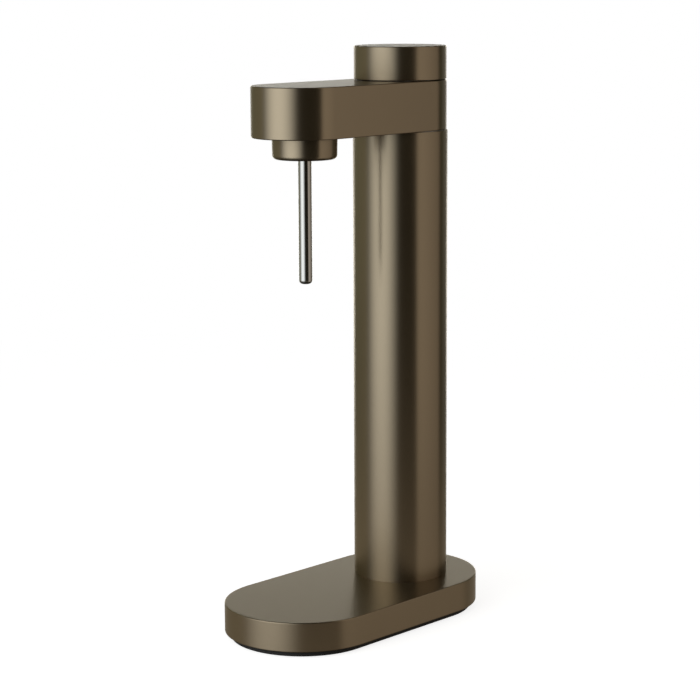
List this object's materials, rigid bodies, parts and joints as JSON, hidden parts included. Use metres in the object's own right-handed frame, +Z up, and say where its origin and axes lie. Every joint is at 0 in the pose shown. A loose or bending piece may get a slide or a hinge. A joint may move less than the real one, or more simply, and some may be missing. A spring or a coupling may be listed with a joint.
{
  "type": "sparkling water maker",
  "caption": "Slim counter-top carbonator: round-ended base, tubular column holding a gas cylinder, arm with bottle collar and hanging gas tube, twist knob on top.",
  "frame": {"origin": "on the table, under the middle of the base", "axes": "+Z up, -Y towards the front where the bottle hangs, +X to the right of someone who stands before the front and looks along +Y"},
  "size_m": [0.116, 0.2234, 0.4265],
  "materials": {
    "satin_bronze": "satin dark bronze, fine even grain",
    "polished_steel": "polished",
    "plain_steel": "zinc-plated",
    "blackened_steel": "black e-coat",
    "cylinder_aluminium": "drawn, matt",
    "valve_brass": "turned",
    "black_plastic": "fine moulded texture",
    "white_plastic": "natural acetal",
    "black_rubber": "matt",
    "clear_silicone": "translucent grey"
  },
  "bodies": {
    "stand": {"foot_pad": "black_rubber", "bottom_plate": "black_plastic", "bottom_plate_screws": "plain_steel", "ballast_plate": "blackened_steel", "base_shell": "satin_bronze", "column_foot_flange": "plain_steel", "column_foot_screws": "plain_steel", "column_tube": "satin_bronze", "column_head_ring": "plain_steel", "arm_base_plate": "blackened_steel", "arm_shell": "satin_bronze", "arm_screws": "plain_steel", "valve_body": "valve_brass", "valve_body_screws": "plain_steel", "cylinder_seal": "black_rubber", "rod_seal": "black_rubber", "gas_line": "plain_steel", "gas_line_nuts": "valve_brass", "knob_bearing": "white_plastic", "bearing_bolts": "plain_steel", "stop_pins": "plain_steel", "bearing_nut": "valve_brass", "return_spring": "plain_steel", "nozzle_head": "valve_brass", "nozzle_nut": "valve_brass", "nozzle_o_ring": "black_rubber", "nozzle_tube": "polished_steel", "bottle_collar": "satin_bronze", "collar_screws": "plain_steel", "bottle_seal": "clear_silicone", "relief_spring": "plain_steel", "relief_cap": "valve_brass"},
    "knob": {"knob_shell": "satin_bronze", "knob_hub": "black_plastic", "knob_cam": "white_plastic"},
    "follower": {"cam_follower": "black_plastic", "cross_pin": "plain_steel", "push_rod": "plain_steel"},
    "cylinder": {"gas_cylinder": "cylinder_aluminium", "cylinder_valve": "valve_brass", "pin_spring": "plain_steel"},
    "pin": {"valve_pin": "plain_steel"},
    "hatch": {"hatch_cover": "black_plastic", "hatch_pad": "black_rubber"},
    "poppet": {"relief_poppet": "plain_steel"}
  },
  "joints": [
    {"name": "knob_turn", "type": "hinge", "parent": "stand", "child": "knob", "pos_m": [0, 0.05375, 0.4142], "axis": [0, 0, -1], "range_deg": [0, 60], "stiffness_Nm_per_rad": 0.06, "springref_deg": -17.19},
    {"name": "follower_drop", "type": "slide", "parent": "stand", "child": "follower", "axis": [0, 0, -1], "range_m": [0, 0.0025], "deforming": ["return_spring"]},
    {"name": "cylinder_turn", "type": "hinge", "parent": "stand", "child": "cylinder", "pos_m": [0, 0.05375, 0.2], "axis": [0, 0, -1], "range_deg": [0, 360]},
    {"name": "pin_drop", "type": "slide", "parent": "cylinder", "child": "pin", "axis": [0, 0, -1], "range_m": [0, 0.0025], "deforming": ["pin_spring"]},
    {"name": "hatch_turn", "type": "hinge", "parent": "stand", "child": "hatch", "pos_m": [0, 0.05375, 0.0062], "axis": [0, 0, -1], "range_deg": [0, 45]},
    {"name": "poppet_lift", "type": "slide", "parent": "stand", "child": "poppet", "axis": [0, 0, 1], "range_m": [0, 0.0012], "stiffness_N_per_m": 800, "springref_m": -0.001, "deforming": ["relief_spring"]}
  ],
  "couplings": [
    {"joint": "follower_drop", "follows": "knob_turn", "m_per_rad": 0.0023873},
    {"joint": "pin_drop", "follows": "knob_turn", "m_per_rad": 0.0023873}
  ]
}
